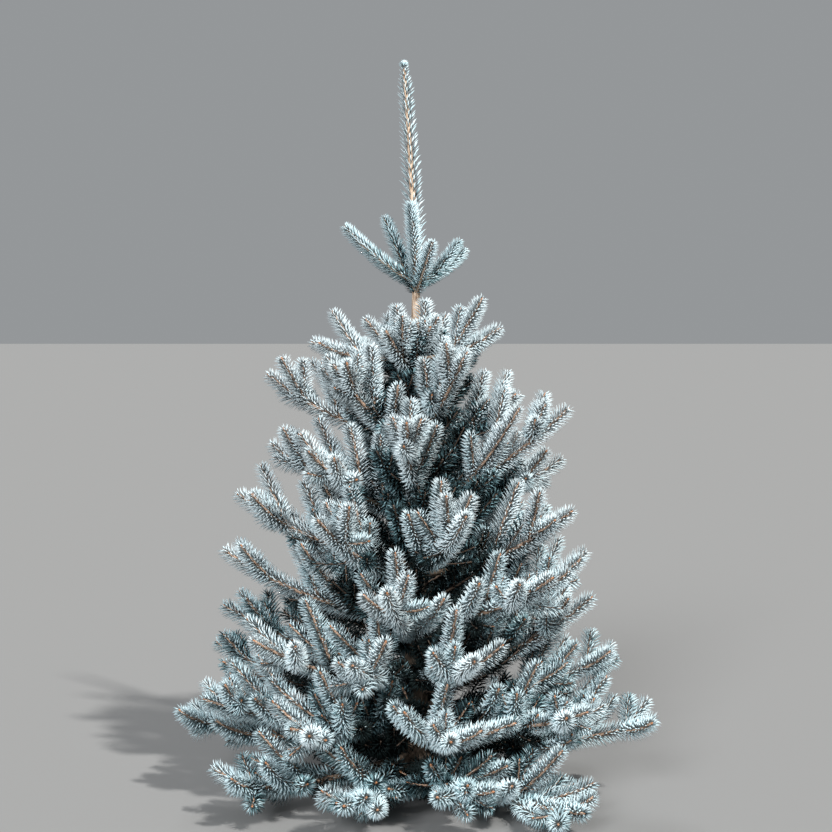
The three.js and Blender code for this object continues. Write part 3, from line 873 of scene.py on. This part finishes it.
class SPRUCE_OT_trunk(bpy.types.Operator):
    """Models the trunk and leader with the root flare and the relief of the bark"""

    bl_idname = "spruce.trunk"
    bl_label = "Trunk"

    def execute(self, context):
        heights = np.concatenate([
            np.linspace(0, ROOT_FLARE["height"], FLARE_RINGS),
            np.linspace(ROOT_FLARE["height"], LEADER["foot"], BARK_RINGS)[1:],
            np.linspace(LEADER["foot"], TRUNK_TOP, BARK_RINGS // 2)[1:],
        ])
        rings = [(tuple(trunk_centre(z).tolist()), float(trunk_radius(z))) for z in heights]
        trunk = extruded_column("trunk_bark", BARK_SIDES, rings)
        self.flare_roots(trunk)
        apply_modifier(trunk, "SUBSURF", levels=2, render_levels=2)
        self.roughen(trunk, settings("spruce_sizes").bark_depth)
        trunk.data.shade_smooth()
        trunk.data.materials.append(bark_finish("bark", TRUNK_TURNS_TAN))
        place_piece(trunk, "bark", "trunk")
        return {"FINISHED"}

    @staticmethod
    def flare_roots(trunk):
        """Draws the foot out into lobes where the roots begin."""
        for vertex in trunk.data.vertices:
            flare = max(0.0, 1 - vertex.co.z / ROOT_FLARE["height"])
            angle = math.atan2(vertex.co.y, vertex.co.x)
            lobe = 1 + ROOT_FLARE["depth"] * flare * math.cos(ROOT_FLARE["lobes"] * angle)
            vertex.co.x *= lobe
            vertex.co.y *= lobe

    @staticmethod
    def roughen(trunk, depth):
        """Plates and furrows, deepest at the foot and nearly gone where the leader starts."""
        heights = np.array([vertex.co.z for vertex in trunk.data.vertices])
        least, flat_below = 0.02, 0.0005
        old = np.clip(1 - heights / LEADER["foot"], least, 1) * (heights > flat_below)
        group = trunk.vertex_groups.new(name="old_bark")
        for index, weight in enumerate(old):
            group.add([index], float(weight), "REPLACE")
        for name, size, share in BARK_RELIEF:
            displace(trunk, f"bark_{name}", size, 1.6, depth * share * 2, vertex_group=group.name)
        for vertex in trunk.data.vertices:
            vertex.co.z = max(vertex.co.z, 0.0)


class SPRUCE_OT_boughs(bpy.types.Operator):
    """Models a length of bough and lays a copy of it along the older wood of every limb"""

    bl_idname = "spruce.boughs"
    bl_label = "Boughs"

    def execute(self, context):
        pattern = self.straight_bough()
        material = bark_finish("bough_bark", BOUGHS_TURN_TAN)
        places, faces = shape_of(pattern)
        for number, limbs in limbs_by_tier():
            wood = Meshed()
            for limb in limbs:
                wood.add(self.laid_along(limb, places), faces, 0)
            piece = wood.make(f"bark_tier{number}", [material])
            piece.data.shade_smooth()
            boughs = [limb.node("bough") for limb in limbs]
            place_piece(piece, "bark", *(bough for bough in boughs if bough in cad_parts))
        bpy.data.objects.remove(pattern)
        return {"FINISHED"}

    @staticmethod
    def straight_bough():
        """A bough of length 1 and radius 1 that stands upright, in triangles."""
        swell = (1.18, 1.0, 1.04, 0.97, 1.05, 0.98, 1.02, 0.96, 1.03, 1.0, 1.0)
        rings = [((0, 0, n / (len(swell) - 1)), radius) for n, radius in enumerate(swell)]
        pattern = extruded_column("bough_pattern", 8, rings)
        displace(pattern, "bough_relief", 0.35, 1.4, 0.35)
        apply_modifier(pattern, "TRIANGULATE")
        return pattern

    @staticmethod
    def laid_along(limb, places):
        """The pattern bent along a limb, tapering from the trunk to its side shoots."""
        share = places[:, 2].clip(0, 1) * BOUGH_END
        radius = wood_radius(limb.curve, share)
        level, upright = square_to(limb.curve.along(share))
        across = level * places[:, :1] + upright * places[:, 1:2]
        return limb.curve.point(share) + across * radius[:, None]


class SPRUCE_OT_twigs(bpy.types.Operator):
    """Grows the twigs that the needles stand on"""

    bl_idname = "spruce.twigs"
    bl_label = "Twigs"

    def execute(self, context):
        rng = np.random.default_rng(11)
        materials = [plain_finish(tone, 0.75, 0.25) for tone in TWIG_TONES]
        for half, numbers in TWIG_TIERS.items():
            twigs = Meshed()
            for shoot in shoots_of(numbers):
                start, end, radii = 0.0, 1 - TUFT / shoot.curve.length, shoot.radii
                if shoot.order == 1:
                    start = BOUGH_END * TWIG_START
                    radii = (wood_radius(shoot.curve, start), LIMB_WOOD["tip"])
                places, faces = tube_mesh(shoot.curve, start, end, radii, TWIG_SIDES, rng)
                twigs.add(places, faces, rng.random(len(faces)) < TWIG_FLECKS[shoot.order])
            place_piece(twigs.make(f"twigs_{half}", materials), "bark")
        return {"FINISHED"}


class SPRUCE_OT_buds(bpy.types.Operator):
    """Sets a scaly bud on the end of every outer twig"""

    bl_idname = "spruce.buds"
    bl_label = "Buds"

    def execute(self, context):
        pattern = self.one_bud()
        places, faces = shape_of(pattern)
        buds = Meshed()
        rng = np.random.default_rng(12)
        outer = [shoot.curve for shoot in shoots_of(ALL_TIERS) if shoot.order < INSIDE]
        for curve in (*outer, LEADER_STEM):
            self.set_bud(buds, curve, places, faces, rng)
        bpy.data.objects.remove(pattern)
        place_piece(buds.make("buds", [plain_finish("bud", 0.6)]), "bark")
        return {"FINISHED"}

    @staticmethod
    def one_bud():
        """An egg-shaped bud of length 1 with two rows of scales standing off it, in triangles."""
        profile = ((0.0, 0.2), (0.2, 0.36), (0.3, 0.28), (0.55, 0.32), (0.64, 0.22), (1.0, 0.04))
        pattern = extruded_column("bud_pattern", 6, [((0, 0, height), radius) for height, radius in profile])
        apply_modifier(pattern, "TRIANGULATE")
        return pattern

    @staticmethod
    def set_bud(buds, curve, places, faces, rng):
        long = settings("spruce_sizes").bud_length * (BUD_SIZE["least"] + BUD_SIZE["vary"] * rng.random())
        end = 1 - TUFT / curve.length
        along = curve.along(end)
        level, upright = square_to(along)
        foot = curve.point(end) - along * long * BUD_SIZE["sunk"]
        across = places[:, :1] * level + places[:, 1:2] * upright + places[:, 2:] * along
        buds.add(foot + across * long, faces, 0)


def needle_tone(limb, shoot, way, rng):
    """The tone of each needle, palest on the outer shoots and near a twig's end, with painted shade deep and
    low in the crown, on the top whorl, the lowest tiers and some limbs, and painted light on the upper
    tiers.
    """
    tip = shoot.curve.tip
    inside = depth_inside(tip)
    low = smooth(1 - tip[2] / SHADE_BELOW)
    deeper = max(0, inside - INSIDE_SHADE_AND_AGE["from"])
    tone = TONE_OF_ORDER[shoot.order] + (INSIDE_SHADE_AND_AGE["all"] + INSIDE_SHADE_AND_AGE["low"] * low) * deeper
    tone += TONE_VARIES["shoot"] * rng.normal()
    tone += SHADED_LIMBS.get(limb.label, 0) * (shoot.order < INSIDE) + PAINTED_LIGHT_BY_TIER.get(limb.number, 0)
    older = FOOT_DARKER["limb" if shoot.order == 1 else "shoot"] * (1 - way) ** FOOT_DARKER["fades"]
    tones = tone + older + rng.normal(0, TONE_VARIES["needle"], len(way))
    return np.clip(np.round(tones), 0, len(NEEDLE_TONES) - 1)


class SPRUCE_OT_needles(bpy.types.Operator):
    """Grows the needles of every limb, in one piece for each tier"""

    bl_idname = "spruce.needles"
    bl_label = "Needles"

    def execute(self, context):
        sizes = settings("spruce_sizes")
        rng = np.random.default_rng(13)
        materials = [plain_finish(tone, 0.7, 0.15) for tone in NEEDLE_TONES]
        long = sum(shoot.crowding * shoot.curve.length * (1 - shoot.bare) for shoot in shoots_of(ALL_TIERS))
        density = sizes.needle_count / long
        for number, limbs in limbs_by_tier():
            needles = Meshed()
            for limb in limbs:
                self.clothe(limb, needles, density, sizes.needle_width, rng)
            piece = needles.make(f"needles_tier{number}_1", materials)
            place_piece(piece, "needles", *(limb.node("foliage") for limb in limbs))
        return {"FINISHED"}

    @staticmethod
    def clothe(limb, needles, density, width, rng):
        for shoot in limb.shoots:
            lines = needle_lines(shoot, density, rng)
            feet, direction, _, length, _ = lines
            above = (feet + direction * length[:, None])[:, 2] > LOWEST_POINT
            *lines, way = (each[above] for each in lines)
            wide = width * varied(UNEVEN["width"], len(way), rng)
            places, faces, each = needle_mesh(*lines, wide)
            needles.add(places, faces, np.repeat(needle_tone(limb, shoot, way, rng), each))


class SPRUCE_OT_leader(bpy.types.Operator):
    """Grows the needles that hug the leader, and the tuft round its bud"""

    bl_idname = "spruce.leader"
    bl_label = "Leader"

    def execute(self, context):
        rng = np.random.default_rng(14)
        materials = [plain_finish(tone, 0.7, 0.15) for tone in NEEDLE_TONES]
        needles = Meshed()
        for feet, direction, along, length in (self.along_the_stem(rng), self.round_the_bud(rng)):
            count = len(feet)
            wide = np.full(count, settings("spruce_sizes").needle_width * LEADER_NEEDLES["widen"])
            places, faces, each = needle_mesh(feet, direction, along, length, wide)
            tone = LEADER_NEEDLES["tone"] + rng.normal(0, LEADER_NEEDLES["tone_varies"], count)
            tone = np.clip(np.round(tone), 0, LEADER_NEEDLES["darkest"])
            needles.add(places, faces, np.repeat(tone, each))
        place_piece(needles.make("leader_needle_sleeve", materials), "needles", "leader_needles")
        return {"FINISHED"}

    @staticmethod
    def along_the_stem(rng):
        """The needles on the leader's sides: feet, directions, the stem's directions, and lengths."""
        spec, count = LEADER_NEEDLES, LEADER_NEEDLES["count"]
        way, share, along, outward = needle_places(LEADER_STEM, 0, 1, count, spec["turn"], 0, rng)
        lean = spec["lean"] + rng.normal(0, spec["lean_varies"], count)
        direction = turned(along, outward, np.radians(lean))
        middle = LEADER_STEM.point(share)
        feet = middle + outward * (trunk_radius(middle[:, 2]) * spec["root"])[:, None]
        return feet, direction, along, between(spec["length"], way) * varied(spec["uneven"], count, rng)

    @staticmethod
    def round_the_bud(rng):
        """The same for short needles that stand out from the top bud on all sides but below."""
        spec, count = LEADER_NEEDLES, LEADER_NEEDLES["crown"]
        lean = np.arccos(1 - spec["crown_spread"] * (np.arange(count) + 0.5) / count)
        turn = np.arange(count) * GOLDEN_TURN
        out = np.sin(lean)
        direction = np.stack([out * np.cos(turn), out * np.sin(turn), np.cos(lean)], axis=-1)
        top = trunk_centre(TREE_TOP - spec["crown_reach"])
        along = np.broadcast_to(LEADER_STEM.along(0.99), direction.shape)
        length = spec["crown_reach"] * (1 - spec["crown_uneven"] * rng.random(count))
        return np.broadcast_to(top, direction.shape), direction, along, length


class SPRUCE_OT_stage(bpy.types.Operator):
    """Lays the floor and sets the camera and the lights"""

    bl_idname = "spruce.stage"
    bl_label = "Stage"

    def execute(self, context):
        stage = settings("spruce_stage")
        bpy.ops.object.select_all(action="DESELECT")
        bpy.ops.mesh.primitive_plane_add(size=400, location=(0, 0, -0.001))
        floor = bpy.context.object
        floor.name = "floor"
        floor.data.materials.append(Finish("floor", FLOOR_COLOUR, roughness=0.95, specular=0.0).material)
        self.add_camera(stage)
        for name, (place, colour, softness) in LIGHTS.items():
            self.add_sun(name, place, colour, getattr(stage, f"{name}_strength"), getattr(stage, softness))
        world = bpy.data.worlds.new("studio")
        world.use_nodes = True
        background = world.node_tree.nodes["Background"]
        background.inputs["Color"].default_value = SKY_COLOUR
        background.inputs["Strength"].default_value = stage.surroundings
        context.scene.world = world
        context.scene.view_settings.view_transform = "Standard"
        return {"FINISHED"}

    @staticmethod
    def add_camera(stage):
        bpy.ops.object.camera_add(
            location=(0, -stage.distance, stage.eye_height), rotation=(math.pi / 2 - stage.tilt, 0, 0)
        )
        camera = bpy.context.object
        camera.data.sensor_width = 36
        camera.data.lens = stage.lens
        bpy.context.scene.camera = camera

    @staticmethod
    def add_sun(name, place, colour, strength, softness):
        """A far light that shines from a place towards the foot of the tree."""
        turn = (-Vector(place)).to_track_quat("-Z", "Y").to_euler()
        bpy.ops.object.light_add(type="SUN", rotation=turn)
        light = bpy.context.object
        light.name = name
        light.data.angle = softness
        light.data.energy = strength
        light.data.color = colour


OPERATORS = (
    SPRUCE_OT_trunk,
    SPRUCE_OT_boughs,
    SPRUCE_OT_twigs,
    SPRUCE_OT_needles,
    SPRUCE_OT_leader,
    SPRUCE_OT_buds,
    SPRUCE_OT_stage,
)
GROUPS = {"spruce_sizes": SpruceSizes, "spruce_colours": SpruceColours, "spruce_stage": SpruceStage}


class SPRUCE_PT_panel(bpy.types.Panel):
    """Lists the tree's sizes and colours and the steps that grow it"""

    bl_label = "Blue Spruce"
    bl_idname = "SPRUCE_PT_panel"
    bl_space_type = "VIEW_3D"
    bl_region_type = "UI"
    bl_category = "Spruce"

    def draw(self, context):
        for group, kind in GROUPS.items():
            box = self.layout.box()
            for name in kind.__annotations__:
                box.prop(getattr(context.scene, group), name)
        for operator in OPERATORS:
            self.layout.operator(operator.bl_idname)


def register():
    for kind in (*GROUPS.values(), *OPERATORS, SPRUCE_PT_panel):
        bpy.utils.register_class(kind)
    for group, kind in GROUPS.items():
        setattr(bpy.types.Scene, group, bpy.props.PointerProperty(type=kind))


def unregister():
    for group in GROUPS:
        delattr(bpy.types.Scene, group)
    for kind in reversed((*GROUPS.values(), *OPERATORS, SPRUCE_PT_panel)):
        bpy.utils.unregister_class(kind)


def main():
    register()
    for operator in OPERATORS:
        group, name = operator.bl_idname.split(".")
        getattr(getattr(bpy.ops, group), name)()


if __name__ == "__main__":
    main()
